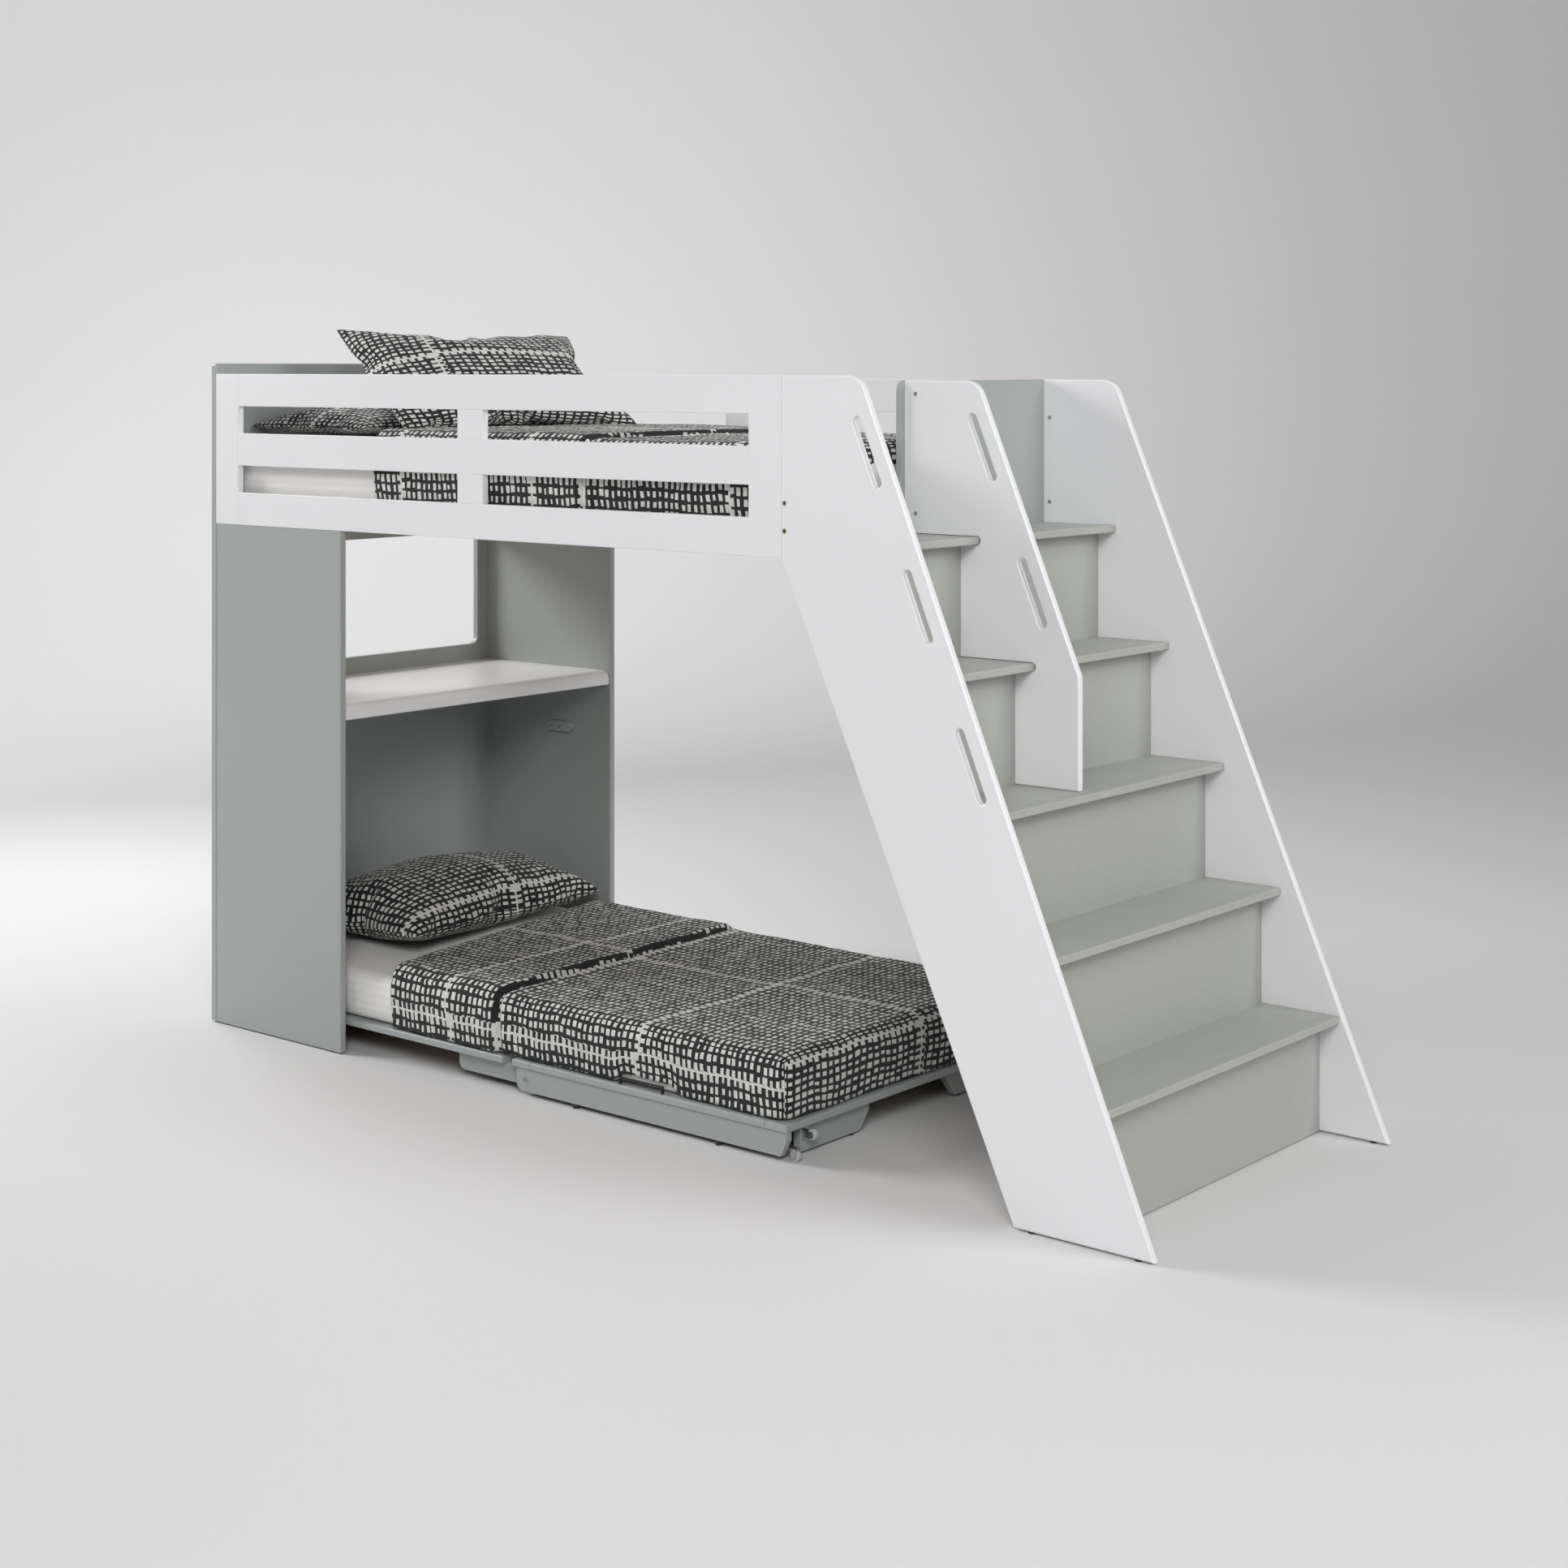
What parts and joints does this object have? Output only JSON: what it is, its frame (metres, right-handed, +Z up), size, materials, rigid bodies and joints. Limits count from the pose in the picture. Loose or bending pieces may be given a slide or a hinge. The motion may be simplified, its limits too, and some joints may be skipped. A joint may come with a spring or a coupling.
{
  "type": "loft bed with desk",
  "caption": "Twin loft bed with guard rails, desk at the head end, boxed staircase with handholds at the foot and a folding low bed on wheels beneath.",
  "frame": {"origin": "floor level under the centre of the whole footprint", "axes": "+X runs along the bed from the desk end to the foot of the stairs, +Y from the open front to the back, +Z up"},
  "size_m": [2.943, 1.055, 1.8951],
  "materials": {
    "white_lacquer": "white satin lacquer on board",
    "grey_lacquer": "grey satin lacquer on board",
    "step_laminate": "pale warm grey matte melamine",
    "slat_pine": "planed pine",
    "yellow_zinc": "yellow zinc plate",
    "bright_zinc": "bright zinc plate",
    "glide_plastic": "black moulded glide",
    "wheel_nylon": "grey nylon",
    "dark_steel": "black powder coat",
    "sheet_satin": "white cotton with satin stripes",
    "printed_percale": "near-black cotton printed with a hand-drawn off-white grid"
  },
  "bodies": {
    "loft": {"barrel_nuts": "bright_zinc", "connector_bolts": "yellow_zinc", "desk_top": "white_lacquer", "end_board": "grey_lacquer", "end_panel": "grey_lacquer", "floor_glides": "glide_plastic", "front_bottom_rail": "white_lacquer", "front_leg_panel": "grey_lacquer", "front_middle_rail": "white_lacquer", "front_stringer": "white_lacquer", "front_top_rail": "white_lacquer", "guard_posts": "white_lacquer", "guard_stiles": "white_lacquer", "middle_stringer": "white_lacquer", "rear_bottom_rail": "white_lacquer", "rear_leg_panel": "grey_lacquer", "rear_middle_rail": "white_lacquer", "rear_stringer": "white_lacquer", "rear_top_rail": "white_lacquer", "rest_blocks": "white_lacquer", "riser_1": "step_laminate", "riser_2": "step_laminate", "riser_3": "step_laminate", "riser_4": "step_laminate", "riser_5": "step_laminate", "slat_ledgers": "slat_pine", "tread_1": "step_laminate", "tread_2": "step_laminate", "tread_3": "step_laminate", "tread_4": "step_laminate", "tread_5": "step_laminate", "tread_cleats": "step_laminate", "tread_screws": "bright_zinc", "upper_duvet": "printed_percale", "upper_mattress": "sheet_satin", "upper_pillow_flat": "printed_percale", "upper_pillow_leaning": "printed_percale", "upper_slats": "slat_pine"},
    "foot_axle": {"foot_axles": "bright_zinc"},
    "foot_section": {"foot_frame": "grey_lacquer", "foot_slats": "slat_pine", "foot_aprons": "grey_lacquer", "foot_end_legs": "grey_lacquer", "foot_caster_brackets": "bright_zinc", "pivot_bolts": "bright_zinc", "mattress_retainers": "dark_steel", "low_bed_glides": "glide_plastic", "low_mattress_foot": "sheet_satin", "low_duvet_foot": "printed_percale"},
    "head_section": {"head_frame": "grey_lacquer", "head_slats": "slat_pine", "head_arms": "grey_lacquer", "head_end_legs": "grey_lacquer", "head_caster_brackets": "bright_zinc", "low_mattress_head": "sheet_satin", "low_duvet_head": "printed_percale", "low_pillow": "printed_percale"},
    "foot_floor_wheels": {"foot_wheels": "wheel_nylon"},
    "foot_end_wheels": {"end_wheels": "wheel_nylon"},
    "head_floor_wheels": {"head_wheels": "wheel_nylon"}
  },
  "joints": [
    {"name": "bed_roll", "type": "slide", "parent": "loft", "child": "foot_axle", "axis": [1, 0, 0], "range_m": [0, 0.55]},
    {"name": "bed_fold", "type": "hinge", "parent": "foot_axle", "child": "foot_section", "pos_m": [0.5105, 0, 0.0125], "axis": [0, 1, 0], "range_deg": [0, 36]},
    {"name": "centre_fold", "type": "hinge", "parent": "foot_section", "child": "head_section", "pos_m": [-0.3135, 0, 0.041], "axis": [0, 1, 0], "range_deg": [-63, 0.5]},
    {"name": "foot_wheel_spin", "type": "hinge", "parent": "foot_axle", "child": "foot_floor_wheels", "pos_m": [0.5105, 0, 0.0125], "axis": [0, 1, 0], "continuous": true},
    {"name": "end_wheel_spin", "type": "hinge", "parent": "foot_section", "child": "foot_end_wheels", "pos_m": [0.5125, 0, 0.047], "axis": [0, 1, 0], "continuous": true},
    {"name": "head_wheel_spin", "type": "hinge", "parent": "head_section", "child": "head_floor_wheels", "pos_m": [-1.404, 0, 0.0125], "axis": [0, 1, 0], "continuous": true}
  ],
  "couplings": [
    {"joint": "centre_fold", "follows": "bed_fold", "ratio": -1.735}
  ]
}
